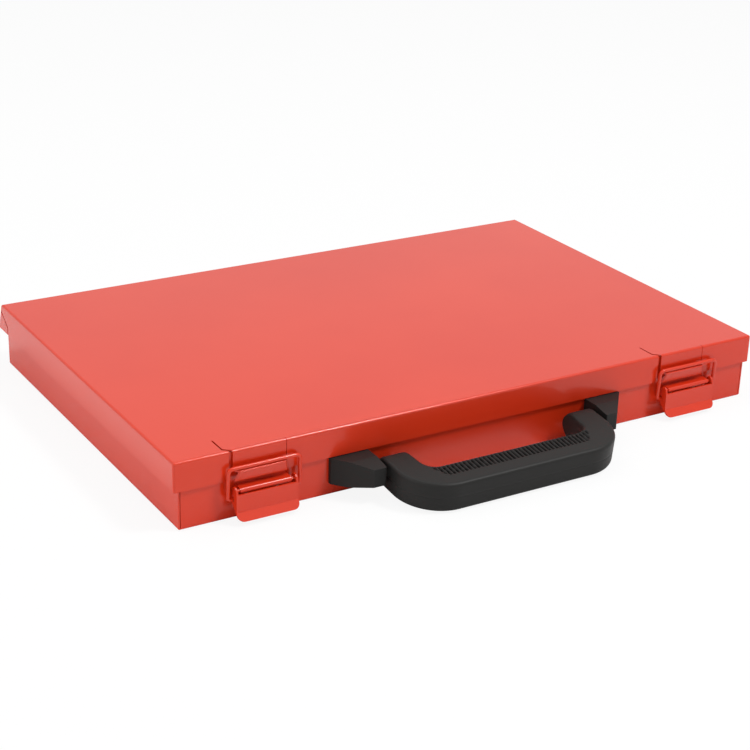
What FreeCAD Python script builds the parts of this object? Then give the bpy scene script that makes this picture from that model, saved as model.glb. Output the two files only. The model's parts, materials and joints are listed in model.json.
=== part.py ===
# Flat sheet-steel case for twist drills: a folded base, a lapped lid on a long rear hinge,
# two lever latches with wire bails, a swinging carry handle and notched rails inside.
# Frame: origin at the centre of the base's underside, +X to the right, +Y to the hinge, +Z up.
import FreeCAD, Part
import math
import os
import re
import Sketcher
from FreeCAD import Placement, Rotation, Vector

# Driving sizes in millimetres and degrees: name, value, what it is
SIZES = [
    ("lid_width", 340.0, "lid across the front"),
    ("base_depth", 218.6, "base from front wall to rear wall, outside"),
    ("case_height", 35.0, "closed case from underside to lid top"),
    ("lid_lap", 14.9, "height of the lid's turned-down edge"),
    ("sheet", 0.8, "steel sheet of base and lid"),
    ("side_gap", 1.9, "lid's side edge to base wall"),
    ("front_gap", 0.4, "lid's front edge to base wall"),
    ("rim_gap", 0.4, "top of base wall to lid"),
    ("base_bend", 1.0, "outer radius of the base's folds"),
    ("lid_bend", 1.2, "outer radius of the lid's folds"),
    ("corner_gap", 0.35, "open joint at the base's corners"),
    ("cut_over", 3.0, "overrun of cuts"),
    ("skirt_angle", 20.0, "lean of the lid's rear edge, in degrees"),
    ("slit", 0.8, "width of the relief slits"),
    ("slit_rise", 10.3, "height of the rear slit's upper end over the lid edge"),
    ("slit_knee", 3.9, "height of the rear slit's knee over the lid edge"),
    ("slit_reach", 8.4, "rear slit's knee forward of the lid's rear fold"),
    ("knuckle_radius", 2.0, "outside of the rolled hinge knuckles"),
    ("hinge_pin_radius", 1.1, "hinge pin"),
    ("turn_gap", 0.05, "radial running clearance of every pin"),
    ("hinge_gap", 0.5, "knuckles to the sheet beside them"),
    ("hinge_inset", 21.5, "rear hinge's ends in from the lid's sides"),
    ("knuckle_gap", 0.4, "between neighbouring knuckles"),
    ("leaf_sheet", 0.8, "hinge leaf sheet"),
    ("leaf_drop", 12.0, "base leaf below the pin"),
    ("leaf_rise", 9.0, "lid leaf above the pin"),
    ("latch_offset", 4.45, "latch centre short of the middle between block and lid's side"),
    ("catch_width", 27.4, "tongue of the lid that the bail hooks on"),
    ("catch_slot", 2.0, "slot at the left of the tongue"),
    ("catch_slot_thin", 0.3, "slot at the right of the tongue"),
    ("catch_shift_left", 1.3, "left tongue to the left of its latch's middle"),
    ("catch_shift_right", 3.0, "right tongue to the left of its latch's middle"),
    ("catch_reach", 3.6, "tongue's ledge out from the lid's front"),
    ("catch_tuck", 1.7, "how far the tongue's lip leans back under its ledge"),
    ("catch_corner", 2.2, "ledge's corners, seen from above"),
    ("ledge_rise", 5.6, "top of the ledge over the lid's edge"),
    ("plate_slit_length", 13.6, "slit in the lid's top behind the left slot"),
    ("plate_slit_shift", 2.4, "how far that slit steps sideways"),
    ("plate_slit_start", 2.7, "where that slit starts behind the lid's front"),
    ("bracket_sheet", 1.0, "latch bracket sheet"),
    ("bracket_width", 26.6, "latch bracket"),
    ("bracket_drop", 10.7, "bracket's lower edge below the lever pivot"),
    ("barrel_radius", 1.4, "bracket's rolled barrel"),
    ("latch_pin_radius", 0.8, "lever pivot pin"),
    ("pivot_out", 3.0, "lever pivot out from the lid's front"),
    ("pivot_drop", 4.4, "lever pivot below the lid's edge"),
    ("lever_width", 32.0, "lever across its ears"),
    ("lever_sheet", 1.0, "lever's ears"),
    ("lever_plate", 0.9, "lever's front plate"),
    ("lever_corner", 3.5, "lever's lower corners"),
    ("hook_drop", 4.4, "bail pivot below the lever pivot"),
    ("hook_inset", 1.3, "bail pivot inward of the lever pivot"),
    ("wire_radius", 0.95, "bail wire"),
    ("bail_width", 39.0, "bail across its legs"),
    ("bail_out", 2.4, "bail's bar out from the lid's front"),
    ("bail_gap", 0.3, "bail's bar over the ledge"),
    ("bail_bend", 2.4, "bail's upper bends, on the wire's middle"),
    ("bail_foot_bend", 1.6, "bail's lower bends, on the wire's middle"),
    ("bail_foot_reach", 0.7, "bail's feet past the ears"),
    ("rivet_radius", 1.5, "latch rivets"),
    ("rivet_head_radius", 2.7, "latch rivet heads"),
    ("rivet_head", 0.9, "latch rivet head height"),
    ("rivet_spread", 8.0, "latch rivets from the latch centre"),
    ("rivet_drop", 6.4, "latch rivets below the lever pivot"),
    ("bow_half_width", 62.2, "handle bow from its middle to its outer side"),
    ("bow_reach", 32.5, "handle bow from its pivot to its outer side"),
    ("bow_arm", 13.9, "handle bow's arms beside the pivots, seen from above"),
    ("bow_taper", 2.0, "how far each arm's inner side leans in on its way to the grip"),
    ("bow_grip", 18.1, "handle bow's grip, seen from above"),
    ("bow_thickness", 15.2, "handle bow, measured across its plane"),
    ("bow_corner", 23.5, "handle bow's outer corners"),
    ("bow_inner_corner", 6.5, "handle bow's inner corners"),
    ("bow_edge", 2.0, "rounding of the bow's long edges"),
    ("bow_droop", 6.0, "rest position below level, in degrees"),
    ("handle_out", 10.5, "handle pivot out from the lid's front"),
    ("handle_drop", 8.85, "handle pivot below the lid's edge"),
    ("handle_shift", 4.0, "handle's middle to the left of the case's middle"),
    ("handle_pin_radius", 2.0, "handle pivot pins"),
    ("handle_pin_grip", 7.0, "handle pin inside the bow's arm"),
    ("block_gap", 2.4, "bow's arm to its block"),
    ("block_length", 20.9, "block from its inner to its outer end"),
    ("block_full", 6.9, "how far the block keeps its full depth"),
    ("block_tip", 2.0, "block's depth at its outer end"),
    ("block_depth", 17.5, "block out from the lid's front"),
    ("block_height", 13.2, "block from its underside to its top"),
    ("block_top_gap", 0.4, "block's top below the lid's edge"),
    ("block_slope", 2.4, "fall of the block's top towards its front"),
    ("block_undercut", 2.2, "rise of its underside towards its front"),
    ("block_edge", 0.8, "rounding of the block's edges"),
    ("screw_radius", 2.0, "handle screws"),
    ("screw_gap", 0.2, "handle screws in the sheet"),
    ("screw_head_radius", 3.6, "handle screw heads"),
    ("screw_head", 2.2, "handle screw head height"),
    ("screw_bite", 5.6, "handle screws inside the block"),
    ("screw_inset", 6.5, "outer handle screw in from its block's outer end"),
    ("screw_pitch", 8.0, "between a block's two screws"),
    ("backing_sheet", 1.2, "backing plate behind each block"),
    ("backing_width", 24.0, "backing plate"),
    ("backing_height", 13.0, "backing plate"),
    ("rail_sheet", 0.8, "drill rail sheet"),
    ("rail_end_gap", 5.5, "ends of the drill rails to the base's side walls"),
    ("rail_height", 17.0, "drill rail from the floor of the base"),
    ("rail_foot", 10.0, "drill rail's foot"),
    ("bit_height", 11.0, "middle of the drills over the floor of the base"),
    ("bit_gap", 0.3, "drill in its notch, all round"),
    ("bit_first_large", 7.0, "smallest drill of the rear row"),
    ("bit_first_small", 1.0, "smallest drill of the front row"),
    ("bit_step", 0.5, "from one drill to the next"),
    ("rear_shank_gap", 21.0, "rear wall to the rail under the large shanks"),
    ("rear_tip_gap", 97.0, "rear wall to the rail under the large tips"),
    ("front_shank_gap", 12.0, "front wall to the rail under the small shanks"),
    ("front_tip_gap", 33.0, "front wall to the rail under the small tips"),
]

# Counts, which no length scales
KNUCKLES = 11
LARGE_BITS = 13
SMALL_BITS = 12
CROWN_SHARE = 0.62

# Places worked out from the sizes, in the order they need each other
PLACES = [
    ("wall", "base_depth / 2"),
    ("base_width", "lid_width - 2 * (sheet + side_gap)"),
    ("rim", "case_height - sheet - rim_gap"),
    ("lid_front", "wall + front_gap + sheet"),
    ("edge_height", "case_height - lid_lap"),
    ("ledge_height", "edge_height + ledge_rise"),
    ("block_inner", "bow_half_width + block_gap"),
    ("block_end", "block_inner + block_length"),
    ("block_shoulder", "block_inner + block_full"),
    ("screw_outer", "block_end - screw_inset"),
    ("screw_inner", "screw_outer - screw_pitch"),
    ("latch_place", "(lid_width / 2 + block_end + handle_shift) / 2 - latch_offset"),
    ("catch_left", "-latch_place - catch_shift_left"),
    ("catch_right", "latch_place - catch_shift_right"),
    ("hinge_length", "lid_width - 2 * hinge_inset"),
    ("hinge_y", "wall + hinge_gap + knuckle_radius"),
    ("hinge_z", "edge_height"),
    ("skirt_near", "knuckle_radius + hinge_gap"),
    ("skirt_far", "knuckle_radius + hinge_gap + sheet"),
    ("skirt_top_rise", "lid_lap - skirt_far * sin(skirt_angle)"),
    ("lid_rear", "hinge_y + skirt_far * cos(skirt_angle) - skirt_top_rise * tan(skirt_angle)"),
    ("skirt_inner_rise", "lid_lap - sheet - skirt_near * sin(skirt_angle)"),
    ("lid_rear_inside",
     "hinge_y + skirt_near * cos(skirt_angle) - skirt_inner_rise * tan(skirt_angle)"),
    ("skirt_foot_y", "hinge_y + skirt_near / cos(skirt_angle)"),
    ("skirt_out_y", "skirt_foot_y + sheet * cos(skirt_angle)"),
    ("skirt_out_z", "hinge_z + sheet * sin(skirt_angle)"),
    ("pivot_y", "-lid_front - pivot_out"),
    ("pivot_height", "edge_height - pivot_drop"),
    ("rivet_height", "pivot_height - rivet_drop"),
    ("bracket_foot", "pivot_height - bracket_drop"),
    ("hook_y", "pivot_y + hook_inset"),
    ("hook_z", "pivot_height - hook_drop"),
    ("bar_y", "-lid_front - bail_out"),
    ("bar_z", "ledge_height + bail_gap + wire_radius"),
    ("handle_y", "-lid_front - handle_out"),
    ("handle_height", "edge_height - handle_drop"),
    ("block_top", "edge_height - block_top_gap"),
    ("block_foot", "block_top - block_height"),
    ("screw_z", "(block_foot + block_top) / 2"),
    ("knuckle_pitch", "hinge_length / %d" % KNUCKLES),
    ("floor", "sheet"),
    ("rail_length", "base_width - 2 * sheet - 2 * rail_end_gap"),
    ("rear_shank_place", "wall - rear_shank_gap"),
    ("rear_tip_place", "wall - rear_tip_gap"),
    ("front_shank_place", "front_shank_gap - wall"),
    ("front_tip_place", "front_tip_gap - wall"),
]

doc = FreeCAD.newDocument("DrillBitCase")
sheet_object = doc.addObject("Spreadsheet::Sheet", "Sizes")
for row, (name, number, note) in enumerate(SIZES, start=1):
    sheet_object.set("A%d" % row, name)
    sheet_object.set("B%d" % row, str(number))
    sheet_object.set("C%d" % row, note)
    sheet_object.setAlias("B%d" % row, name)
doc.recompute()
place_object = doc.addObject("App::VarSet", "Places")
size_names = {name for name, number, note in SIZES}
place_names = {name for name, text in PLACES}


def linked(text):
    """Turn the names of sizes and places in a formula into references to them."""
    def owner(match):
        word = match.group()
        if word in size_names:
            return "Sizes." + word
        return "Places." + word if word in place_names else word
    return re.sub(r"[a-z_]+", owner, text)


for name, text in PLACES:
    place_object.addProperty("App::PropertyFloat", name)
    place_object.setExpression(name, linked(text))
    doc.recompute()


def at(name):
    """The number that a size or a place has now."""
    return float(getattr(sheet_object if name in size_names else place_object, name))


def bind(feature, links):
    for target, text in links.items():
        feature.setExpression(target, linked(text))


def new_body(label):
    body = doc.addObject("PartDesign::Body", label)
    body.Label = label
    return body


def new_sketch(body, name, plane, offset="0"):
    """An empty sketch on one of the body's origin planes, moved along its normal."""
    sketch = body.newObject("Sketcher::SketchObject", name)
    support = next(f for f in body.Origin.OriginFeatures if f.Role == plane + "_Plane")
    sketch.AttachmentSupport = [(support, "")]
    sketch.MapMode = "FlatFace"
    bind(sketch, {".AttachmentOffset.Base.z": offset})
    return sketch


def pin_point(sketch, geometry, vertex, across, up):
    """Hold one point of a sketch at two formulas, measured from the sketch's origin."""
    for kind, text in (("DistanceX", across), ("DistanceY", up)):
        index = sketch.addConstraint(Sketcher.Constraint(kind, -1, 1, geometry, vertex, 1.0))
        sketch.setExpression("Constraints[%d]" % index, linked(text))


def add_loop(sketch, corners):
    """A closed polygon whose corners are pairs of formulas."""
    count = len(corners)
    first = sketch.GeometryCount
    turn = 2 * math.pi / count
    ring = [Vector(math.cos(i * turn), math.sin(i * turn), 0) for i in range(count)]
    for i in range(count):
        sketch.addGeometry(Part.LineSegment(ring[i], ring[(i + 1) % count]), False)
    for i in range(count):
        following = first + (i + 1) % count
        sketch.addConstraint(Sketcher.Constraint("Coincident", first + i, 2, following, 1))
        pin_point(sketch, first + i, 1, *corners[i])


def add_circle(sketch, across, up, radius):
    index = sketch.addGeometry(Part.Circle(Vector(0, 0, 0), Vector(0, 0, 1), 1.0), False)
    pin_point(sketch, index, 3, across, up)
    size = sketch.addConstraint(Sketcher.Constraint("Radius", index, 1.0))
    sketch.setExpression("Constraints[%d]" % size, linked(radius))


def rectangle(low_x, low_y, high_x, high_y):
    return [(low_x, low_y), (high_x, low_y), (high_x, high_y), (low_x, high_y)]


def pad(body, sketch, length, both=False, back=False):
    feature = body.newObject("PartDesign::Pad", sketch.Name + "Pad")
    feature.Profile = sketch
    feature.SideType = "Symmetric" if both else "One side"
    feature.Reversed = back
    bind(feature, {"Length": length})
    doc.recompute()
    return feature


def pocket(body, sketch, length, both=False, back=False):
    """Cut a sketch out of the body, and stop if nothing was cut."""
    before = body.Shape.Volume
    feature = body.newObject("PartDesign::Pocket", sketch.Name + "Cut")
    feature.Profile = sketch
    feature.Type = "Length"
    feature.SideType = "Symmetric" if both else "One side"
    feature.Reversed = back
    bind(feature, {"Length": length})
    doc.recompute()
    if body.Shape.Volume >= before:
        raise RuntimeError(sketch.Name + " cuts nothing")
    return feature


def round_edges(body, name, radius, wanted):
    """Fillet the edges of the body that a test on each edge picks."""
    doc.recompute()
    base = body.Tip
    picked = ["Edge%d" % (i + 1) for i, edge in enumerate(base.Shape.Edges) if wanted(edge)]
    if not picked:
        raise RuntimeError(name + " finds no edge")
    feature = body.newObject("PartDesign::Fillet", name)
    feature.Base = (base, picked)
    bind(feature, {"Radius": radius})
    doc.recompute()
    return feature


def runs_along(edge, axis):
    """True for a straight edge along one axis, 0 for X, 1 for Y and 2 for Z."""
    box = edge.BoundBox
    spans = [box.XLength, box.YLength, box.ZLength]
    length = spans.pop(axis)
    return length > at("turn_gap") > max(spans)


def close(first, second):
    return abs(first - second) < at("turn_gap")


def near(number, name):
    return close(number, at(name))


# Base: one blank folded up on four sides, drilled for the latches, the handle and its screws
def make_base():
    body = new_body("base_tray")
    outside = new_sketch(body, "BaseOutside", "XY")
    half_width, half_depth = "base_width / 2", "wall"
    add_loop(outside, rectangle("-" + half_width, "-" + half_depth, half_width, half_depth))
    pad(body, outside, "rim")
    round_edges(body, "BaseFolds", "base_bend", lambda edge: edge.BoundBox.ZMax < at("turn_gap"))
    inside = new_sketch(body, "BaseInside", "XY", "floor")
    add_loop(inside, rectangle("-base_width / 2 + sheet", "-wall + sheet",
                               "base_width / 2 - sheet", "wall - sheet"))
    pocket(body, inside, "rim", back=True)
    floor_edge = lambda edge: near(edge.BoundBox.ZMax, "floor") and near(edge.BoundBox.ZMin, "floor")
    round_edges(body, "BaseInnerFolds", "base_bend - sheet", floor_edge)
    joints = new_sketch(body, "BaseCorners", "XZ")
    for side in ("-", ""):
        inner = side + "(base_width / 2 - sheet)"
        add_loop(joints, rectangle(inner, "base_bend", "%s(base_width / 2 - sheet - corner_gap)" % side,
                                   "rim + cut_over"))
    pocket(body, joints, "base_depth + 2 * cut_over", both=True)
    holes = new_sketch(body, "BaseHoles", "XZ", "wall + cut_over")
    for side in ("-", ""):
        for turn in ("-", "+"):
            across = "%slatch_place %s rivet_spread" % (side, turn)
            add_circle(holes, across, "rivet_height", "rivet_radius + turn_gap")
        for screw in ("screw_outer", "screw_inner"):
            add_circle(holes, "%s%s - handle_shift" % (side, screw), "screw_z", "screw_radius + screw_gap")
    pocket(body, holes, "sheet + 2 * cut_over")


# Lid: a shallow box open at the bottom, with a leaning rear edge and its relief slits
def make_lid():
    body = new_body("lid_shell")
    outside = new_sketch(body, "LidOutside", "YZ")
    add_loop(outside, [("-lid_front", "edge_height"), ("skirt_foot_y", "edge_height"),
                       ("skirt_out_y", "skirt_out_z"), ("lid_rear", "case_height"),
                       ("-lid_front", "case_height")])
    pad(body, outside, "lid_width", both=True)
    round_edges(body, "LidFolds", "lid_bend", lid_fold)
    inside = new_sketch(body, "LidInside", "YZ")
    below = "edge_height - cut_over"
    add_loop(inside, [("-lid_front + sheet", below),
                      ("skirt_foot_y + cut_over * tan(skirt_angle)", below),
                      ("lid_rear_inside", "case_height - sheet"),
                      ("-lid_front + sheet", "case_height - sheet")])
    pocket(body, inside, "lid_width - 2 * sheet", both=True)
    rear_slits(body)
    for side in ("left", "right"):
        catch_slots(body, side)


def lid_fold(edge):
    """The top edges of the lid's outside, and its two upright corners in front."""
    box = edge.BoundBox
    top = near(box.ZMin, "case_height") and box.DiagonalLength > at("wall")
    return top or runs_along(edge, 2) and near(-box.YMin, "lid_front")


def rear_slits(body):
    """Cut each side edge free of the leaning rear edge, down a slope and then a straight slit."""
    knee_y = "lid_rear - slit_reach"
    knee_z = "edge_height + slit_knee"
    lower, upper = "slit_rise", "slit_rise + slit"
    cut = new_sketch(body, "RearSlits", "YZ")
    add_loop(cut, [(knee_y, "edge_height - cut_over"), (knee_y + " + slit", "edge_height - cut_over"),
                   (knee_y + " + slit", knee_z),
                   ("skirt_foot_y - (%s) * tan(skirt_angle)" % lower, "edge_height + " + lower),
                   ("skirt_foot_y - (%s) * tan(skirt_angle)" % upper, "edge_height + " + upper),
                   (knee_y, knee_z + " + slit")])
    pocket(body, cut, "lid_width + 2 * cut_over", both=True)


def catch_slots(body, side):
    """Free the front edge's tongue: a wide slot with a slit behind it, and a thin slot."""
    left = "catch_%s - catch_width / 2" % side
    right = "catch_%s + catch_width / 2" % side
    title = side.capitalize()
    window = new_sketch(body, title + "Window", "XZ", "lid_front + cut_over")
    add_loop(window, rectangle(left + " - catch_slot", "edge_height - cut_over",
                               right + " + catch_slot_thin", "case_height - lid_bend"))
    pocket(body, window, "2 * cut_over")
    slit = new_sketch(body, title + "Slit", "XY", "case_height + cut_over")
    outer = left + " - catch_slot"
    shifted = outer + " - plate_slit_shift"
    start = "-lid_front + plate_slit_start"
    end = "-lid_front + plate_slit_length"
    add_loop(slit, [(outer, "-lid_front - cut_over"), (left, "-lid_front - cut_over"),
                    (left, "-lid_front + sheet"), (shifted + " + slit", start + " + slit"),
                    (shifted + " + slit", end), (shifted, end), (shifted, start),
                    (outer, "-lid_front + sheet")])
    pocket(body, slit, "cut_over + 2 * lid_bend")
    notch = new_sketch(body, title + "Notch", "XY", "case_height + cut_over")
    add_loop(notch, rectangle(right, "-lid_front - cut_over", right + " + catch_slot_thin",
                              "-lid_front + lid_bend + sheet"))
    pocket(body, notch, "cut_over + 2 * lid_bend")


# Catch: the tongue of the lid's front edge, set out as a ledge that the bail pulls down on
def make_catch(side):
    body = new_body("lid_catch_" + side)
    face = new_sketch(body, "Catch" + side.capitalize(), "YZ")
    out = "-lid_front - catch_reach"
    top = "case_height - lid_bend"
    tip = out + " + catch_tuck"
    add_loop(face, [("-lid_front", top), ("-lid_front", "ledge_height"), (out, "ledge_height"),
                    (tip, "edge_height"), (tip + " + sheet", "edge_height"),
                    (out + " + sheet", "ledge_height - sheet"),
                    ("-lid_front + sheet", "ledge_height - sheet"), ("-lid_front + sheet", top)])
    pad(body, face, "catch_width", both=True)
    trim = new_sketch(body, "CatchTrim" + side.capitalize(), "XY", "case_height")
    for turn in ("-", ""):
        end = turn + "(catch_width / 2 + cut_over)"
        add_loop(trim, [(turn + "(catch_width / 2)", out + " + catch_corner"), (end, out + " + catch_corner"),
                        (end, out + " - cut_over"), (turn + "(catch_width / 2 - catch_corner)",
                                                     out + " - cut_over"),
                        (turn + "(catch_width / 2 - catch_corner)", out)])
    pocket(body, trim, "case_height")
    round_edges(body, "CatchFold" + side.capitalize(), "sheet / 2", ledge_fold)
    bind(body, {".Placement.Base.x": "catch_" + side})


def ledge_fold(edge):
    """The ledge's outer fold."""
    box = edge.BoundBox
    out = -at("lid_front") - at("catch_reach")
    return runs_along(edge, 0) and near(box.ZMin, "ledge_height") and close(box.YMin, out)


# Rear hinge: two leaves with interleaved rolled knuckles on one long pin
def knuckle_start(index):
    """Low X of one knuckle, as a formula."""
    return "-hinge_length / 2 + %d * knuckle_pitch + knuckle_gap / 2" % index


def roll_knuckles(body, title, owned, link):
    """Add tubes around the pin at every second span, each with its link to the leaf."""
    for index in owned:
        low = knuckle_start(index)
        length = "knuckle_pitch - knuckle_gap"
        tube = new_sketch(body, "%sTube%d" % (title, index), "YZ", low)
        add_circle(tube, "hinge_y", "hinge_z", "knuckle_radius")
        tube_pad = pad(body, tube, length)
        tube_pad.Label = "%sKnuckle%d" % (title, index)
        web = new_sketch(body, "%sWeb%d" % (title, index), "YZ", low)
        add_loop(web, link)
        pad(body, web, length)
    bore = new_sketch(body, title + "Bore", "YZ")
    add_circle(bore, "hinge_y", "hinge_z", "hinge_pin_radius + turn_gap")
    pocket(body, bore, "hinge_length + 2 * cut_over", both=True)


def make_base_leaf():
    body = new_body("hinge_leaf_base")
    leaf = new_sketch(body, "BaseLeaf", "YZ")
    top = "hinge_z - knuckle_radius"
    add_loop(leaf, rectangle("wall", "hinge_z - leaf_drop", "wall + leaf_sheet", top))
    pad(body, leaf, "hinge_length", both=True)
    link = rectangle("wall", top, "hinge_y", top + " + leaf_sheet")
    roll_knuckles(body, "BaseLeaf", range(0, KNUCKLES, 2), link)


def leaf_point(away, rise):
    """A point beside the leaning rear edge: distance from the pin's line, then height along it."""
    return ("hinge_y + (%s) * cos(skirt_angle) - (%s) * sin(skirt_angle)" % (away, rise),
            "hinge_z + (%s) * sin(skirt_angle) + (%s) * cos(skirt_angle)" % (away, rise))


def make_lid_leaf():
    body = new_body("hinge_leaf_lid")
    near_side, far_side = "skirt_near - leaf_sheet", "skirt_near"
    lower = "knuckle_radius"
    leaf = new_sketch(body, "LidLeaf", "YZ")
    add_loop(leaf, [leaf_point(near_side, lower), leaf_point(far_side, lower),
                    leaf_point(far_side, "leaf_rise"), leaf_point(near_side, "leaf_rise")])
    pad(body, leaf, "hinge_length", both=True)
    link = [leaf_point(near_side, "0"), leaf_point(far_side, "0"),
            leaf_point(far_side, lower), leaf_point(near_side, lower)]
    roll_knuckles(body, "LidLeaf", range(1, KNUCKLES, 2), link)


def make_pin(label, radius, length, y_place, z_place, x_place="0"):
    """A round pin along X, centred on a place."""
    rod = doc.addObject("Part::Cylinder", label)
    rod.Label = label
    rod.Placement = Placement(Vector(0, 0, 0), Rotation(Vector(0, 1, 0), 90))
    bind(rod, {"Radius": radius, "Height": length, ".Placement.Base.y": y_place,
               ".Placement.Base.z": z_place,
               ".Placement.Base.x": "%s - (%s) / 2" % (x_place, length)})


# Latch bracket: a plate on the base's front wall whose top is rolled round the lever's pin
def make_bracket(side, centre):
    body = new_body("latch_bracket_" + side)
    title = "Bracket" + side.capitalize()
    outline = new_sketch(body, title, "YZ")
    top = "pivot_height + barrel_radius"
    add_loop(outline, [("-wall", "bracket_foot"), ("-wall", top), ("pivot_y", top),
                       ("pivot_y", top + " - bracket_sheet"),
                       ("-wall - bracket_sheet", top + " - bracket_sheet"),
                       ("-wall - bracket_sheet", "bracket_foot")])
    pad(body, outline, "bracket_width", both=True)
    barrel = new_sketch(body, title + "Barrel", "YZ")
    add_circle(barrel, "pivot_y", "pivot_height", "barrel_radius")
    pad(body, barrel, "bracket_width", both=True)
    bore = new_sketch(body, title + "Bore", "YZ")
    add_circle(bore, "pivot_y", "pivot_height", "latch_pin_radius + turn_gap")
    pocket(body, bore, "bracket_width + 2 * cut_over", both=True)
    holes = new_sketch(body, title + "Holes", "XZ", "wall + cut_over")
    for turn in ("-", ""):
        add_circle(holes, turn + "rivet_spread", "rivet_height", "rivet_radius + turn_gap")
    pocket(body, holes, "2 * cut_over")
    bind(body, {".Placement.Base.x": centre})


# Lever seen from the side: places out and up from the lever pivot, as shares of the drop from
# that pivot to the bail's pivot, first the front plate from its knee up, then the ears, the lip last
LEVER_SHARES = [
    (0.636, -2.25), (0.6, -0.25), (0.432, 0.318), (0.205, 0.477), (-0.159, 0.477), (-0.409, 0.273),
    (-0.477, -0.227), (-0.659, -0.773), (-0.659, -1.227), (-0.455, -1.477), (0.432, -2.409),
    (1.1, -3.18), (1.3, -3.07),
]


def lever_outline():
    return [("pivot_y - hook_drop * (%s)" % out, "pivot_height + hook_drop * (%s)" % rise)
            for out, rise in LEVER_SHARES]


def make_lever(side, centre):
    body = new_body("latch_lever_" + side)
    title = "Lever" + side.capitalize()
    edge = lever_outline()
    outline = new_sketch(body, title, "YZ")
    add_loop(outline, edge)
    pad(body, outline, "lever_width", both=True)
    channel = new_sketch(body, title + "Channel", "YZ")
    knee, head, toe = edge[10], edge[1], edge[11]
    plate_top = (head[0] + " + lever_plate", head[1])
    above = "pivot_height + barrel_radius + cut_over"
    behind = "-wall + cut_over"
    add_loop(channel, [toe, knee, plate_top, (head[0] + " - cut_over", head[1]),
                       (head[0] + " - cut_over", above), (behind, above), (behind, toe[1])])
    pocket(body, channel, "lever_width - 2 * lever_sheet", both=True)
    for name, across, up, radius in (("Pivot", "pivot_y", "pivot_height", "latch_pin_radius"),
                                     ("Hook", "hook_y", "hook_z", "wire_radius")):
        hole = new_sketch(body, title + name, "YZ")
        add_circle(hole, across, up, radius + " + turn_gap")
        pocket(body, hole, "lever_width + 2 * cut_over", both=True)
    round_edges(body, title + "Corners", "lever_corner", lever_foot_corner)
    bind(body, {".Placement.Base.x": centre})


def lever_foot_corner(edge):
    """The short edges across the plate at its lower corners."""
    box = edge.BoundBox
    low = at("pivot_height") - 3 * at("hook_drop")
    outer = min(abs(box.XMin), abs(box.XMax)) > at("lever_width") / 2 - at("turn_gap")
    return outer and box.ZMax < low and box.DiagonalLength < at("lever_plate") * 2


# Bail: one length of wire bent into a hoop, whose feet turn in through the lever's ears
def make_bail(side):
    radius, half = at("wire_radius"), at("bail_width") / 2 - at("wire_radius")
    top = Vector(0, at("bar_y"), at("bar_z"))
    foot = Vector(0, at("hook_y"), at("hook_z"))
    inner = at("lever_width") / 2 - at("lever_sheet") - at("bail_foot_reach")
    leg = (top - foot).normalize()
    across = Vector(1, 0, 0)
    high, low = at("bail_bend"), at("bail_foot_bend")
    slant = math.sqrt(2) / 2

    def corner(place, first, last, size):
        """A quarter bend between two directions that leave its corner."""
        start, end = place + first * size, place + last * size
        middle = place + (first + last) * size * (1 - slant)
        return start, Part.Arc(start, middle, end).toShape(), end

    edges = []
    here = foot - across * inner
    for place, first, last, size in ((foot - across * half, across, leg, low),
                                     (top - across * half, -leg, across, high),
                                     (top + across * half, -across, -leg, high),
                                     (foot + across * half, leg, -across, low)):
        start, bend, end = corner(place, first, last, size)
        edges += [Part.makeLine(here, start), bend]
        here = end
    edges.append(Part.makeLine(here, foot + across * inner))
    path = Part.Wire(edges)
    ring = Part.Wire(Part.makeCircle(radius, foot - across * inner, across))
    wire = path.makePipeShell([ring], True, True)
    feature = doc.addObject("Part::Feature", "latch_bail_" + side)
    feature.Label = "latch_bail_" + side
    feature.Shape = wire
    shift = -at("latch_place") if side == "left" else at("latch_place")
    feature.Placement = Placement(Vector(shift, 0, 0), Rotation())


def headed_pin(radius, head_radius, head, length, tail_radius, tail):
    """A rivet or screw along +Y: head outside Y 0, shank inside, and a tail past it."""
    forward = Vector(0, 1, 0)
    solid = Part.makeCylinder(radius, length, Vector(0, 0, 0), forward)
    dome = Part.makeCone(head_radius, head_radius * CROWN_SHARE, head, Vector(0, 0, 0), -forward)
    solid = solid.fuse(dome)
    if tail:
        solid = solid.fuse(Part.makeCylinder(tail_radius, tail, Vector(0, length, 0), forward))
    return solid.removeSplitter()


def fastener_group(label, shape, places, rotation=Rotation()):
    """Copies of one fastener, as separate solids in one node."""
    copies = []
    for place in places:
        copy = shape.copy()
        copy.Placement = Placement(place, rotation)
        copies.append(copy)
    feature = doc.addObject("Part::Feature", label)
    feature.Label = label
    feature.Shape = Part.makeCompound(copies)


def make_rivets(side):
    centre = -at("latch_place") if side == "left" else at("latch_place")
    stack = at("sheet") + at("bracket_sheet")
    rivet = headed_pin(at("rivet_radius"), at("rivet_head_radius"), at("rivet_head"), stack,
                       at("rivet_head_radius"), at("rivet_head"))
    front = -at("wall") - at("bracket_sheet")
    places = [Vector(centre + turn * at("rivet_spread"), front, at("rivet_height")) for turn in (-1, 1)]
    fastener_group("latch_rivets_" + side, rivet, places)


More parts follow.
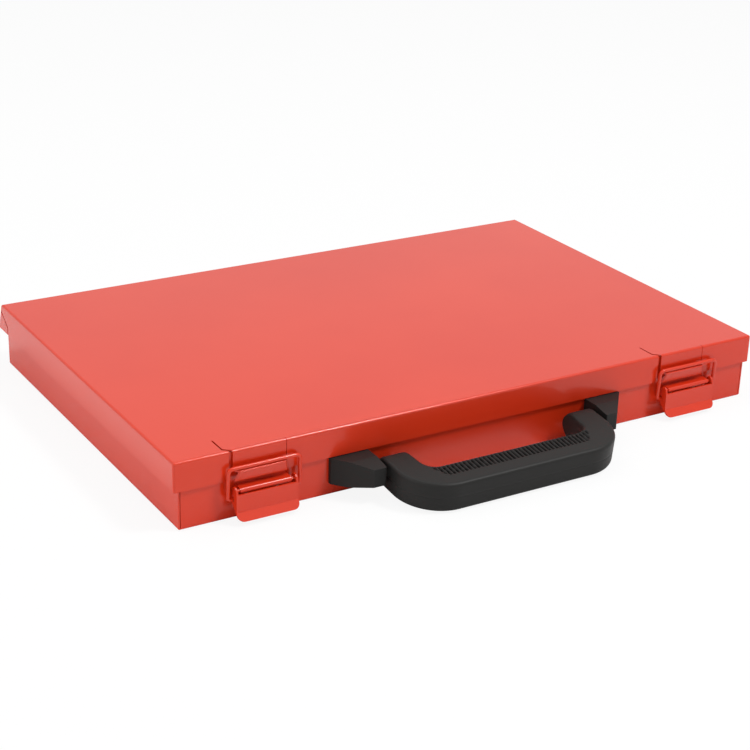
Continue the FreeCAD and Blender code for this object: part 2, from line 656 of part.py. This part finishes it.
# Handle blocks: moulded wedges on the base's front wall that hold the bow's pivot pins
def make_block(side):
    body = new_body("handle_block_" + side)
    title = "Block" + side.capitalize()
    sign = "-" if side == "left" else ""
    plan = new_sketch(body, title, "XY", "block_foot")
    front = "-lid_front - block_depth"
    add_loop(plan, [(sign + "block_end", "-wall"), (sign + "block_end", "-wall - block_tip"),
                    (sign + "block_shoulder", front), (sign + "block_inner", front),
                    (sign + "block_inner", "-wall")])
    pad(body, plan, "block_top - block_foot")
    trim = new_sketch(body, title + "Trim", "YZ")
    ahead = front + " - cut_over"
    middle = "(-wall + %s) / 2" % front
    add_loop(trim, [(middle, "block_top"), (ahead, "block_top - block_slope"),
                    (ahead, "block_top + cut_over"), (middle, "block_top + cut_over")])
    add_loop(trim, [(ahead, "block_foot - cut_over"), (ahead, "block_foot + block_undercut"),
                    (front, "block_foot + block_undercut"), (middle, "block_foot"),
                    (middle, "block_foot - cut_over")])
    pocket(body, trim, "2 * block_end + 2 * cut_over", both=True)
    upright = lambda edge: runs_along(edge, 2) and edge.BoundBox.YMax < -at("wall") - at("turn_gap")
    round_edges(body, title + "Edges", "block_edge", upright)
    bore = new_sketch(body, title + "Bore", "YZ")
    add_circle(bore, "handle_y", "handle_height", "handle_pin_radius + turn_gap")
    reach = "2 * (block_inner + handle_pin_grip)"
    pocket(body, bore, reach, both=True)
    holes = new_sketch(body, title + "Holes", "XZ", "wall + screw_bite + turn_gap")
    for screw in ("screw_outer", "screw_inner"):
        add_circle(holes, sign + screw, "screw_z", "screw_radius + turn_gap")
    pocket(body, holes, "screw_bite + turn_gap + cut_over")
    bind(body, {".Placement.Base.x": "-handle_shift"})


def make_backing(side):
    """A plate inside the case that spreads the load of one block's screws."""
    body = new_body("handle_backing_plate_" + side)
    title = "Backing" + side.capitalize()
    sign = "-" if side == "left" else ""
    middle = sign + "(screw_outer + screw_inner) / 2"
    face = new_sketch(body, title, "XZ", "wall - sheet")
    add_loop(face, rectangle(middle + " - backing_width / 2", "screw_z - backing_height / 2",
                             middle + " + backing_width / 2", "screw_z + backing_height / 2"))
    pad(body, face, "backing_sheet", back=True)
    holes = new_sketch(body, title + "Holes", "XZ", "wall")
    for screw in ("screw_outer", "screw_inner"):
        add_circle(holes, sign + screw, "screw_z", "screw_radius + screw_gap")
    pocket(body, holes, "sheet + backing_sheet + cut_over")
    bind(body, {".Placement.Base.x": "-handle_shift"})


def make_screws():
    stack = at("backing_sheet") + at("sheet") + at("screw_bite")
    screw = headed_pin(at("screw_radius"), at("screw_head_radius"), at("screw_head"), stack, 0, 0)
    back = -at("wall") + at("sheet") + at("backing_sheet")
    places = [Vector(sign * at(name) - at("handle_shift"), back, at("screw_z"))
              for sign in (-1, 1) for name in ("screw_outer", "screw_inner")]
    fastener_group("handle_screws", screw, places, Rotation(Vector(0, 0, 1), 180))


# Handle bow: a moulded D on two pins, made level and then drooped about its pivot
def make_bow():
    body = new_body("handle_bow")
    back = "bow_thickness / 2"
    plan = new_sketch(body, "BowPlan", "XY")
    inner = "bow_half_width - bow_arm"
    grip_end = inner + " - bow_taper"
    hollow = "bow_reach - bow_grip"
    add_loop(plan, [("-bow_half_width", back), ("-bow_half_width", "-bow_reach"),
                    ("bow_half_width", "-bow_reach"), ("bow_half_width", back),
                    (inner, back), (grip_end, "-(%s)" % hollow), ("-(%s)" % grip_end, "-(%s)" % hollow),
                    ("-(%s)" % inner, back)])
    pad(body, plan, "bow_thickness", both=True)
    reach = at("bow_reach")
    outer_corner = lambda edge: runs_along(edge, 2) and near(-edge.BoundBox.YMin, "bow_reach")
    round_edges(body, "BowCorners", "bow_corner", outer_corner)
    inner_line = at("bow_reach") - at("bow_grip")
    inner_corner = lambda edge: (runs_along(edge, 2)
                                 and abs(edge.BoundBox.YMin + inner_line) < at("turn_gap"))
    round_edges(body, "BowInnerCorners", "bow_inner_corner", inner_corner)
    root = lambda edge: runs_along(edge, 0) and near(edge.BoundBox.YMax * 2, "bow_thickness")
    round_edges(body, "BowRoots", "bow_thickness / 2 - turn_gap", root)
    flank = at("bow_thickness") / 2
    plane_edge = lambda edge: (abs(abs(edge.BoundBox.ZMin) - flank) < at("turn_gap")
                               and edge.BoundBox.ZLength < at("turn_gap")
                               and edge.BoundBox.YMin < 0
                               and not runs_along(edge, 0) or abs(edge.BoundBox.YMax + reach) < flank / 9
                               and runs_along(edge, 0) or abs(edge.BoundBox.YMax + inner_line) < flank / 9
                               and runs_along(edge, 0))
    round_edges(body, "BowEdges", "bow_edge", plane_edge)
    bore = new_sketch(body, "BowBore", "YZ", "bow_half_width - handle_pin_grip - turn_gap")
    add_circle(bore, "0", "0", "handle_pin_radius + turn_gap")
    pocket(body, bore, "handle_pin_grip + cut_over", back=True)
    other = new_sketch(body, "BowOtherBore", "YZ", "-bow_half_width + handle_pin_grip + turn_gap")
    add_circle(other, "0", "0", "handle_pin_radius + turn_gap")
    pocket(body, other, "handle_pin_grip + cut_over")
    body.Placement = Placement(Vector(0, 0, 0), Rotation(Vector(1, 0, 0), at("bow_droop")))
    bind(body, {".Placement.Base.x": "-handle_shift", ".Placement.Base.y": "handle_y",
                ".Placement.Base.z": "handle_height", ".Placement.Rotation.Angle": "bow_droop"})


# Rails: folded strips spot-welded to the floor, with a notch for each drill of a row
def make_rail(label, place, foot_side, count, first, order):
    body = new_body(label)
    title = label.title().replace("_", "")
    profile = new_sketch(body, title, "YZ")
    near_edge, far_edge = place, "%s %s rail_sheet" % (place, foot_side)
    foot_edge = "%s %s rail_foot" % (place, foot_side)
    add_loop(profile, [(near_edge, "floor"), (foot_edge, "floor"), (foot_edge, "floor + rail_sheet"),
                       (far_edge, "floor + rail_sheet"), (far_edge, "floor + rail_height"),
                       (near_edge, "floor + rail_height")])
    pad(body, profile, "rail_length", both=True)
    throats = new_sketch(body, title + "Throats", "XZ", "-(%s) + cut_over" % place)
    seats = new_sketch(body, title + "Seats", "XZ", "-(%s) + cut_over" % place)
    middle = "floor + bit_height"
    for index in range(count):
        across = "%s(%d - %s) * rail_length / %d" % (order, index, (count - 1) / 2, count)
        radius = "(%s + %d * bit_step) / 2 + bit_gap" % (first, index)
        add_loop(throats, rectangle("%s - (%s)" % (across, radius), middle,
                                    "%s + (%s)" % (across, radius), "floor + rail_height + cut_over"))
        add_circle(seats, across, middle, radius)
    pocket(body, throats, "2 * cut_over")
    pocket(body, seats, "2 * cut_over")


def build_all():
    make_base()
    make_lid()
    make_base_leaf()
    make_lid_leaf()
    make_pin("hinge_pin", "hinge_pin_radius", "hinge_length", "hinge_y", "hinge_z")
    for side, centre in (("left", "-latch_place"), ("right", "latch_place")):
        make_catch(side)
        make_bracket(side, centre)
        make_pin("latch_pin_" + side, "latch_pin_radius", "lever_width + 4 * turn_gap",
                 "pivot_y", "pivot_height", centre)
        make_lever(side, centre)
        make_bail(side)
        make_rivets(side)
        make_block(side)
        make_backing(side)
        sign = "-" if side == "left" else ""
        make_pin("handle_pin_" + side, "handle_pin_radius", "2 * handle_pin_grip + block_gap",
                 "handle_y", "handle_height", sign + "(bow_half_width + block_gap / 2) - handle_shift")
    make_screws()
    make_bow()
    large, small = "bit_first_large", "bit_first_small"
    make_rail("rail_large_shanks", "rear_shank_place", "+", LARGE_BITS, large, "")
    make_rail("rail_large_tips", "rear_tip_place", "+", LARGE_BITS, large, "")
    make_rail("rail_small_shanks", "front_shank_place", "-", SMALL_BITS, small, "-")
    make_rail("rail_small_tips", "front_tip_place", "-", SMALL_BITS, small, "-")


def sub_parts():
    """The finished pieces: bodies, and solids that belong to no body."""
    kinds = ("PartDesign::Body", "Part::Cylinder", "Part::Feature")
    return [piece for piece in doc.Objects if piece.TypeId in kinds]


def check_all():
    for piece in doc.Objects:
        if "Invalid" in piece.State or "Error" in piece.State:
            raise RuntimeError(piece.Label + " is not sound: " + str(piece.State))
    for piece in sub_parts():
        if piece.Shape.isNull() or not piece.Shape.isValid():
            raise RuntimeError(piece.Label + " has no valid shape")


def export_all():
    os.makedirs("parts", exist_ok=True)
    for piece in sub_parts():
        piece.Shape.exportStep("parts/" + piece.Label + ".step")
        print(piece.Label, len(piece.Shape.Solids), "solid,", round(piece.Shape.Volume, 1))


build_all()
doc.recompute()
check_all()
export_all()
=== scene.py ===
# Looks of the drill bit case: enamelled sheet steel, moulded handle, plated pins and rivets.
# Lengths are in metres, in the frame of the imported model.
import json
import math
import bpy
import numpy as np
from mathutils import Matrix, Vector


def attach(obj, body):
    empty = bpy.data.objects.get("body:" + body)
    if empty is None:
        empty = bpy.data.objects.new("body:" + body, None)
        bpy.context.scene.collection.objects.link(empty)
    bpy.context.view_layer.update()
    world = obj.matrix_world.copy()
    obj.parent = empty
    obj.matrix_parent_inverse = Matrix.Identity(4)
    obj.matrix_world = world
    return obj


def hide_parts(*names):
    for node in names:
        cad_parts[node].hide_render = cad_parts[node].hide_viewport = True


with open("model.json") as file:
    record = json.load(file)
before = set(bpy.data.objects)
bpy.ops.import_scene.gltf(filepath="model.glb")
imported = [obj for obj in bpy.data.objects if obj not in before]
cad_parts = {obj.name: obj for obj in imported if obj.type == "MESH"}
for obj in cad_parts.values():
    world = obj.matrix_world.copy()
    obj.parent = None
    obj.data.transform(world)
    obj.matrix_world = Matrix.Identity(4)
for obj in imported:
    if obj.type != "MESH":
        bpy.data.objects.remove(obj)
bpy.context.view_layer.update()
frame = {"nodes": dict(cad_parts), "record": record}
nodes = frame["nodes"]
print("loaded", len(nodes), "pieces")


# Shader maths: an expression on values adds its Math nodes
class Value:
    def __init__(self, graph, socket):
        self.graph, self.socket = graph, socket

    def math(self, operation, *others):
        return self.graph.node("ShaderNodeMath", {"operation": operation}, [self, *others])

    def __add__(self, other):
        return self.math("ADD", other)

    def __radd__(self, other):
        return self.math("ADD", other)

    def __sub__(self, other):
        return self.math("SUBTRACT", other)

    def __rsub__(self, other):
        return self.graph.node("ShaderNodeMath", {"operation": "SUBTRACT"}, [other, self])

    def __mul__(self, other):
        return self.math("MULTIPLY", other)

    def __rmul__(self, other):
        return self.math("MULTIPLY", other)


# The nodes of one material, or of the world, reached through one method
class Graph:
    def __init__(self, owner):
        owner.use_nodes = True
        self.owner, self.tree = owner, owner.node_tree
        self.tree.nodes.clear()

    def node(self, kind, settings=None, inputs=None, output=0):
        made = self.tree.nodes.new(kind)
        for key, setting in (settings or {}).items():
            if key == "stops":
                ramp = made.color_ramp
                while len(ramp.elements) < len(setting):
                    ramp.elements.new(0.5)
                for element, (place, colour) in zip(ramp.elements, setting):
                    element.position, element.color = place, colour
            else:
                setattr(made, key, setting)
        pairs = enumerate(inputs) if isinstance(inputs, list) else (inputs or {}).items()
        for key, given in pairs:
            if isinstance(given, Value):
                self.tree.links.new(given.socket, made.inputs[key])
            else:
                made.inputs[key].default_value = given
        return Value(self, made.outputs[output]) if made.outputs else None

    def place(self):
        return self.node("ShaderNodeTexCoord", output="Object")

    def noise(self, place, scale, detail=2.0):
        return self.node("ShaderNodeTexNoise", {},
                         {"Vector": place, "Scale": scale, "Detail": detail, "Roughness": 0.5})

    def ramp(self, value, *stops):
        return self.node("ShaderNodeValToRGB", {"stops": stops}, {"Fac": value})

    # The Mix node's colours are its sockets 6 and 7, and its output 2
    def blend(self, mask, first, second):
        return self.node("ShaderNodeMix", {"data_type": "RGBA"}, {0: mask, 6: first, 7: second},
                         output=2)

    def bump(self, height, strength, distance):
        return self.node("ShaderNodeBump", {}, {"Height": height, "Strength": strength,
                                                "Distance": distance})

    def finish(self, **inputs):
        wanted = {key.replace("_", " "): given for key, given in inputs.items()}
        shader = self.node("ShaderNodeBsdfPrincipled", {}, wanted)
        self.node("ShaderNodeOutputMaterial", {}, {"Surface": shader})
        return self.owner


# An opaque grey: the same level in red, green and blue
def grey(level):
    return (level, level, level, 1.0)


# Enamel: thick red gloss with orange peel and faint clouding
enamel = {
    "red": (0.72, 0.038, 0.008, 1.0), "deep": (0.67, 0.032, 0.007, 1.0),
    "cloudScale": 9.0, "cloudDetail": 3.0, "cloudLow": 0.35, "cloudHigh": 0.7,
    "peelScale": 420.0, "peelDetail": 1.0, "peelStrength": 0.2, "peel": 0.00003,
    "gloss": 0.22, "glossSwing": 0.06, "coat": 0.24, "coatRough": 0.05, "shine": 0.34,
}


# Red turns to deep red where the clouds rise from low to high; roughness = gloss + cloud x swing
def enamelPaint():
    g = Graph(bpy.data.materials.new("enamelRed"))
    place = g.place()
    cloud = g.noise(place, enamel["cloudScale"], enamel["cloudDetail"])
    mask = g.ramp(cloud, (enamel["cloudLow"], grey(0)), (enamel["cloudHigh"], grey(1)))
    colour = g.blend(mask, enamel["red"], enamel["deep"])
    peel = g.noise(place, enamel["peelScale"], enamel["peelDetail"])
    height = g.bump(peel, enamel["peelStrength"], enamel["peel"])
    rough = enamel["gloss"] + cloud * enamel["glossSwing"]
    return g.finish(Base_Color=colour, Roughness=rough, Normal=height, Coat_Weight=enamel["coat"],
                    Coat_Roughness=enamel["coatRough"], Specular_IOR_Level=enamel["shine"])


# Handle plastic: charcoal, slightly warm, fine spark-eroded grain, and a painted near black shade in
# the grooves
plastic = {
    "charcoal": (0.0175, 0.0174, 0.0168, 1.0), "warm": (0.021, 0.0198, 0.0185, 1.0),
    # The third colour is a painted near black shade for the grooves, not the plastic's own colour
    "paintedGrooveShade": (0.001, 0.001, 0.001, 1.0), "cloudScale": 30.0, "cloudDetail": 4.0,
    "grainScale": 1400.0, "grainStrength": 0.5, "grain": 0.00003,
    "rough": 0.46, "roughSwing": 0.15, "pitRough": 0.4, "shine": 0.16,
}


# Roughness = rough + (cloud - half) x swing, and in a groove + groove x pitRough
def mouldedPlastic(name, ribbed=False):
    g = Graph(bpy.data.materials.new(name))
    place = g.place()
    cloud = g.noise(place, plastic["cloudScale"], plastic["cloudDetail"])
    colour = g.blend(cloud, plastic["charcoal"], plastic["warm"])
    rough = plastic["rough"] + (cloud - 0.5) * plastic["roughSwing"]
    if ribbed:
        groove = g.node("ShaderNodeAttribute", {"attribute_name": "groove"}, output="Fac")
        # In the grooves the colour is blended to a painted near black shade, standing in for the
        # shade the cut ribs cast
        colour = g.blend(groove, colour, plastic["paintedGrooveShade"])
        rough = rough + groove * plastic["pitRough"]
    grain = g.noise(place, plastic["grainScale"])
    height = g.bump(grain, plastic["grainStrength"], plastic["grain"])
    return g.finish(Base_Color=colour, Roughness=rough, Normal=height,
                    Specular_IOR_Level=plastic["shine"])


# Plated steel of the pins, rivets, screws and backing plates
steel = {
    "zinc": (0.55, 0.55, 0.53, 1.0), "dull": (0.38, 0.38, 0.37, 1.0),
    "cloudScale": 180.0, "cloudDetail": 4.0, "rough": 0.3, "roughSwing": 0.2,
    "scratchScale": 900.0, "scratchStrength": 0.3, "scratch": 0.00002,
}


# Zinc turns dull with the clouds; roughness = rough + cloud x swing
def platedSteel():
    g = Graph(bpy.data.materials.new("platedSteel"))
    place = g.place()
    cloud = g.noise(place, steel["cloudScale"], steel["cloudDetail"])
    colour = g.blend(cloud, steel["zinc"], steel["dull"])
    scratch = g.noise(place, steel["scratchScale"])
    height = g.bump(scratch, steel["scratchStrength"], steel["scratch"])
    rough = steel["rough"] + cloud * steel["roughSwing"]
    return g.finish(Base_Color=colour, Roughness=rough, Metallic=1.0, Normal=height)


finishes = {"red_paint": enamelPaint(), "dark_plastic": mouldedPlastic("charcoalPlastic"),
            "bright_steel": platedSteel()}
ribbedPlastic = mouldedPlastic("ribbedPlastic", True)
for part in frame["record"]["subparts"]:
    mesh = nodes[part["node"]].data
    mesh.materials.clear()
    mesh.materials.append(finishes[part["material_slot"]])
print("finishes on every packed piece")


# Handle bow: a rounded bar between an outer and an inner line, with cut ribs under the fingers.
# A groove begins where the wave passes ribStart and is full ribRise above it, only on faces whose
# normal is over ribNormal up or down. The fades are its soft ends and sides. The steps say how
# finely each stretch is divided, and endShare how much of its quarter turn an arm's end takes.
bow = {
    "pivot": (-0.0040, -0.121, 0.01125), "droop": 6.0, "outerHalf": 0.0622, "reach": 0.0325,
    "arm": 0.0139, "taper": 0.0020, "grip": 0.0181, "outerCorner": 0.0235, "innerCorner": 0.0065,
    "halfThick": 0.0076, "edge": 0.0020, "thinnest": 1e-9,
    "ribPitch": 0.00228, "ribDepth": 0.0020, "ribHalf": 0.0462, "ribRim": 0.0005,
    "ribAcross": 0.0092, "ribSlant": 0.55, "ribStart": 0.30, "ribRise": 0.24, "ribNormal": 0.9,
    "endFade": 0.0004, "acrossFade": 0.0006, "rimFade": 0.0003,
    "partingDepth": 0.00012, "partingHalf": 0.00022, "partingNear": 0.00015,
    "partingFar": 0.0004, "partingClear": 0.0012,
    "perRib": 10, "cornerSteps": 48, "armSteps": 4, "endSteps": 10, "endShare": 0.985,
    "edgeSteps": 6, "flatSteps": 31, "sideSteps": 3,
}


# Half of a U from the grip's middle to the corner's end, as points (x, v): straight to the corner,
# then x = half - r + r sin a and v = tip - r + r cos a round it.
def bentLine(half, tip, radius):
    corner = np.linspace(0, math.pi / 2, bow["cornerSteps"])
    x = np.concatenate([[0.0], half - radius + radius * np.sin(corner)])
    v = np.concatenate([[tip], tip - radius + radius * np.cos(corner)])
    return x, v


# Rounded rectangle once round, as (side, across, thick, normal across, normal thick).
# Corners are r times (cos a, sin a) about their centres. Across is measured from the inner line on
# side 0 and from the outer line on side 1; on side 2, the flats, it is a share of the way between.
def barProfile():
    r, h = bow["edge"], bow["halfThick"]
    near, far, clear = bow["partingNear"], bow["partingFar"], bow["partingClear"]
    a = np.linspace(0, math.pi / 2, bow["edgeSteps"])
    flat = np.linspace(0, 1, bow["flatSteps"])[1:-1]
    lower = np.linspace(-h + r, -clear, bow["sideSteps"])[1:]
    upper = np.linspace(clear, h - r, bow["sideSteps"])[:-1]
    side = np.concatenate([lower, [-far, -near, 0.0, near, far], upper])
    blank = np.zeros_like
    top = np.ones_like(flat)
    rows = [
        (0 * a, r - r * np.cos(a), h - r + r * np.sin(a), -np.cos(a), np.sin(a)),
        (flat * 0 + 2, flat, top * h, blank(flat), top),
        (0 * a + 1, r - r * np.sin(a), h - r + r * np.cos(a), np.sin(a), np.cos(a)),
        (0 * side + 1, blank(side), -side, np.ones_like(side), blank(side)),
        (0 * a + 1, r - r * np.cos(a), -h + r - r * np.sin(a), np.cos(a), -np.sin(a)),
        (flat * 0 + 2, 1 - flat, -top * h, blank(flat), -top),
        (0 * a, r - r * np.sin(a), -h + r - r * np.cos(a), -np.sin(a), -np.cos(a)),
        (0 * side, blank(side), side, -np.ones_like(side), blank(side)),
    ]
    return [np.concatenate(column) for column in zip(*rows)]


# A half line made whole, as a column: first the half read backwards times the sign, then the half
def mirrored(values, sign):
    return np.concatenate([sign * values[::-1], values[1:]])[:, None]


# Each ring stands between the inner and the outer line and has the bar's profile. The arms end in a
# half round: behind the pivot the heights are multiplied by thick = sqrt(h^2 - v^2) / h. The top and
# the underside sink between the ribs by ribDepth times a rounded square wave of x, from ribRim to
# ribAcross in front of the inner line. On the outer side the mould line sinks by
# partingDepth exp(-(tall / partingHalf)^2), where tall is the height from the bar's middle.
def makeBow():
    h, r = bow["halfThick"], bow["edge"]
    steps = int(bow["ribHalf"] / bow["ribPitch"] * bow["perRib"])
    innerTip = bow["reach"] - bow["grip"]
    innerHalf = bow["outerHalf"] - bow["arm"] - bow["taper"]
    outerX, outerV = bentLine(bow["outerHalf"], bow["reach"], bow["outerCorner"])
    innerX, innerV = bentLine(innerHalf, innerTip, bow["innerCorner"])
    straight = innerX[1]
    gripX = np.linspace(0, 1, steps)[:-1] * straight
    armEnd = -h * np.sin(np.linspace(0, math.pi / 2 * bow["endShare"], bow["endSteps"]))
    outerArm = np.concatenate([np.linspace(outerV[-1], 0, bow["armSteps"])[1:-1], armEnd])
    innerArm = np.concatenate([np.linspace(innerV[-1], 0, bow["armSteps"])[1:-1], armEnd])
    outerGrip = gripX * outerX[1] / straight
    ox = np.concatenate([outerGrip, outerX[1:], np.full(outerArm.size, outerX[-1])])
    ov = np.concatenate([np.full(gripX.size, bow["reach"]), outerV[1:], outerArm])
    ix = np.concatenate([gripX, innerX[1:], np.full(innerArm.size, innerX[-1])])
    iv = np.concatenate([np.full(gripX.size, innerTip), innerV[1:], innerArm])
    ix = ix + bow["taper"] * (innerTip - iv) / (innerTip + h)
    thick = np.sqrt(np.clip(h * h - np.minimum(ov, 0) ** 2, bow["thinnest"], None)) / h
    ox, ix = mirrored(ox, -1), mirrored(ix, -1)
    ov, iv, thick = mirrored(ov, 1), mirrored(iv, 1), mirrored(thick, 1)
    side, reachIn, tall, normalA, normalT = barProfile()
    wide = np.hypot(ox - ix, ov - iv)
    fromSide = np.where(side == 1, wide - reachIn, reachIn)
    measured = np.where(side == 2, r + reachIn * (wide - 2 * r), fromSide)
    along = ix + (ox - ix) * measured / wide
    deep = iv + (ov - iv) * measured / wide - innerTip
    wave = 0.5 - 0.5 * np.cos(2 * math.pi * along / bow["ribPitch"])
    cut = np.clip((wave - bow["ribStart"]) / bow["ribRise"], 0, 1)
    toEnd = bow["ribHalf"] - deep * bow["ribSlant"] - np.abs(along)
    inside = np.clip(toEnd / bow["endFade"], 0, 1)
    across = np.clip((bow["ribAcross"] - deep) / bow["acrossFade"], 0, 1)
    rim = np.clip((deep - bow["ribRim"]) / bow["rimFade"], 0, 1)
    groove = cut * inside * across * rim * (np.abs(normalT) > bow["ribNormal"])
    seam = np.exp(-((tall / bow["partingHalf"]) ** 2)) * (side == 1)
    sink = groove * bow["ribDepth"] + seam * bow["partingDepth"] * thick
    measured = measured - sink * normalA
    height = (tall - sink * normalT) * thick
    x = ix + (ox - ix) * measured / wide
    v = iv + (ov - iv) * measured / wide
    tilt = math.radians(bow["droop"])
    y = bow["pivot"][1] - v * math.cos(tilt) - height * math.sin(tilt)
    z = bow["pivot"][2] - v * math.sin(tilt) + height * math.cos(tilt)
    piece = gridMesh("handleBow", x + bow["pivot"][0], y, z, {"groove": groove})
    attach(piece, "handle")
    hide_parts("handle_bow")
    piece.data.materials.append(ribbedPlastic)


# Rings of points joined into a closed tube: ring i, point j goes on to ring i + 1 and point j + 1.
# The first and last ring are each closed by one face.
def gridMesh(name, x, y, z, layers=None):
    rings, points = x.shape
    place = np.stack([x, y, z], -1).reshape(-1, 3)
    i, j = np.meshgrid(np.arange(rings - 1), np.arange(points), indexing="ij")
    k = (j + 1) % points
    here, onward = i * points, (i + 1) * points
    quads = np.stack([here + j, onward + j, onward + k, here + k], -1)
    faces = quads.reshape(-1, 4).tolist()
    faces.append(list(range(points)))
    faces.append(list(range((rings - 1) * points, rings * points))[::-1])
    mesh = bpy.data.meshes.new(name)
    mesh.from_pydata(place.tolist(), [], faces)
    mesh.polygons.foreach_set("use_smooth", np.ones(len(faces), dtype=bool))
    for key, layer in (layers or {}).items():
        attribute = mesh.attributes.new(key, "FLOAT", "POINT")
        attribute.data.foreach_set("value", layer.astype(np.float32).ravel())
    mesh.update()
    piece = bpy.data.objects.new(name, mesh)
    bpy.context.scene.collection.objects.link(piece)
    return piece


makeBow()
print("handle bow")


# Wire bails: one round wire each, with its feet turned in through the lever's ears
bail = {
    "place": 0.1253, "half": 0.01855, "inner": 0.0143, "foot": (-0.1122, 0.0113),
    "bar": (-0.1129, 0.02695), "bend": 0.0024, "footBend": 0.0016, "wire": 0.00095,
    "bendSteps": 12, "roundSteps": 24,
}


# A line through given corners, each but the ends rounded by a quarter circle that meets both its
# sides: start + r sin a along the side before it + r (1 - cos a) along the side after it.
def roundedLine(corners, radii):
    corners = np.array(corners)
    sides = np.diff(corners, axis=0)
    sides = sides / np.hypot(sides[:, :1], sides[:, 1:])
    a = np.linspace(0, math.pi / 2, bail["bendSteps"])[:, None]
    places, tangents = [corners[:1]], [sides[:1]]
    for corner, radius, before, after in zip(corners[1:-1], radii, sides[:-1], sides[1:]):
        start = corner - before * radius
        places.append(start + before * radius * np.sin(a) + after * radius * (1 - np.cos(a)))
        tangents.append(before * np.cos(a) + after * np.sin(a))
    return np.concatenate(places + [corners[-1:]]), np.concatenate(tangents + [sides[-1:]])


# Rings of the wire: middle + r (cos a m + sin a n), where n stands square to the bail's plane and
# m = (tangent s, -tangent x) lies in it, with x along X and s up the bail's legs.
def makeBail(side, sign):
    half, inner, wire = bail["half"], bail["inner"], bail["wire"]
    rise = np.array(bail["bar"]) - np.array(bail["foot"])
    tall = float(np.hypot(*rise))
    up = rise / tall
    corners = [(-inner, 0), (-half, 0), (-half, tall), (half, tall), (half, 0), (inner, 0)]
    bends = (bail["footBend"], bail["bend"], bail["bend"], bail["footBend"])
    middle, tangent = roundedLine(corners, bends)
    a = np.arange(bail["roundSteps"]) * 2 * math.pi / bail["roundSteps"]
    inPlane, square = wire * np.cos(a), wire * np.sin(a)
    x = middle[:, :1] + inPlane * tangent[:, 1:] + sign * bail["place"]
    along = middle[:, 1:] - inPlane * tangent[:, :1]
    y = bail["foot"][0] + along * up[0] - square * up[1]
    z = bail["foot"][1] + along * up[1] + square * up[0]
    piece = gridMesh("latchBail" + side.capitalize(), x, y, z)
    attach(piece, "bail_" + side)
    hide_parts("latch_bail_" + side)
    piece.data.materials.append(finishes["red_paint"])


makeBail("left", -1)
makeBail("right", 1)
print("wire bails")


# Floor: pale and matt, and nearly white to the camera
ground = {"half": 3.0, "below": 0.0003, "tone": 0.90, "glow": 0.9}


# A flat square just under the case. What is seen = matt mixed with white by camera ray x glow.
def makeFloor():
    half = ground["half"]
    mesh = bpy.data.meshes.new("floor")
    mesh.from_pydata([(-half, -half, 0), (half, -half, 0), (half, half, 0), (-half, half, 0)], [],
                     [(0, 1, 2, 3)])
    floor = bpy.data.objects.new("floor", mesh)
    bpy.context.scene.collection.objects.link(floor)
    floor.location.z = -ground["below"]
    g = Graph(bpy.data.materials.new("paleFloor"))
    seen = g.node("ShaderNodeLightPath", output="Is Camera Ray")
    matt = g.node("ShaderNodeBsdfDiffuse", {}, {"Color": grey(ground["tone"])})
    glow = g.node("ShaderNodeEmission", {}, {"Color": grey(1), "Strength": 1.0})
    mixed = g.node("ShaderNodeMixShader", {}, [seen * ground["glow"], matt, glow])
    g.node("ShaderNodeOutputMaterial", {}, {"Surface": mixed})
    mesh.materials.append(g.owner)


# World: how strong it is as a lamp, and how strong where it is seen, mirrored or looked through
sky = {"fill": 0.40, "seen": 1.0}


# Strength = fill where the greatest of the camera, glossy and transmission rays is 0, seen where 1
def makeWorld():
    g = Graph(bpy.data.worlds.new("studio"))
    bpy.context.scene.world = g.owner
    rays = [g.node("ShaderNodeLightPath", output="Is " + kind + " Ray")
            for kind in ("Camera", "Glossy", "Transmission")]
    greatest = rays[0].math("MAXIMUM", rays[1]).math("MAXIMUM", rays[2])
    level = g.node("ShaderNodeMapRange", {},
                   {"Value": greatest, "To Min": sky["fill"], "To Max": sky["seen"]})
    back = g.node("ShaderNodeBackground", {}, {"Strength": level})
    g.node("ShaderNodeOutputWorld", {}, {"Surface": back})


# Lamps: place, what each one looks at, width of its square and power in watts
lamps = {
    "key": ((0.70, -0.70, 1.50), (0, -0.05, 0), 0.35, 18.5),
    "overhead": ((-0.3, 0.3, 1.5), (0, 0, 0), 1.3, 8.4),
    "side": ((-1.2, 0.1, 0.35), (0, 0, 0), 1.2, 6.0),
}


# A square lamp whose -Z axis lies along aim - place
def makeLamp(name, place, aim, size, power):
    lamp = bpy.data.lights.new(name, "AREA")
    lamp.energy, lamp.size = power, size
    holder = bpy.data.objects.new(name, lamp)
    bpy.context.scene.collection.objects.link(holder)
    holder.location = place
    holder.rotation_euler = (Vector(aim) - Vector(place)).to_track_quat("-Z", "Y").to_euler()


# Camera: angles in degrees, lens and sensor in mm
view = {
    "place": (-0.46249, -0.75596, 0.38276), "azimuth": -31.55, "elevation": 23.22, "roll": 1.84,
    "lens": 84.59, "sensor": 36,
}


# Back = (sin az cos el, -cos az cos el, sin el), right = (cos az, sin az, 0) and up = back x right;
# right and up are then turned about back by the roll.
def makeCamera():
    azimuth = math.radians(view["azimuth"])
    elevation = math.radians(view["elevation"])
    roll = math.radians(view["roll"])
    level = math.cos(elevation)
    back = Vector((math.sin(azimuth) * level, -math.cos(azimuth) * level, math.sin(elevation)))
    right = Vector((math.cos(azimuth), math.sin(azimuth), 0))
    up = back.cross(right)
    tilted = right * math.cos(roll) + up * math.sin(roll)
    upright = -right * math.sin(roll) + up * math.cos(roll)
    turn = Matrix((tilted, upright, back)).transposed()
    data = bpy.data.cameras.new("camera")
    data.lens, data.sensor_width = view["lens"], view["sensor"]
    camera = bpy.data.objects.new("camera", data)
    bpy.context.scene.collection.objects.link(camera)
    camera.matrix_world = Matrix.Translation(view["place"]) @ turn.to_4x4()
    bpy.context.scene.camera = camera


makeFloor()
makeWorld()
for name, settings in lamps.items():
    makeLamp(name, *settings)
makeCamera()
bpy.context.scene.view_settings.view_transform = "Standard"
print("floor, light and camera")
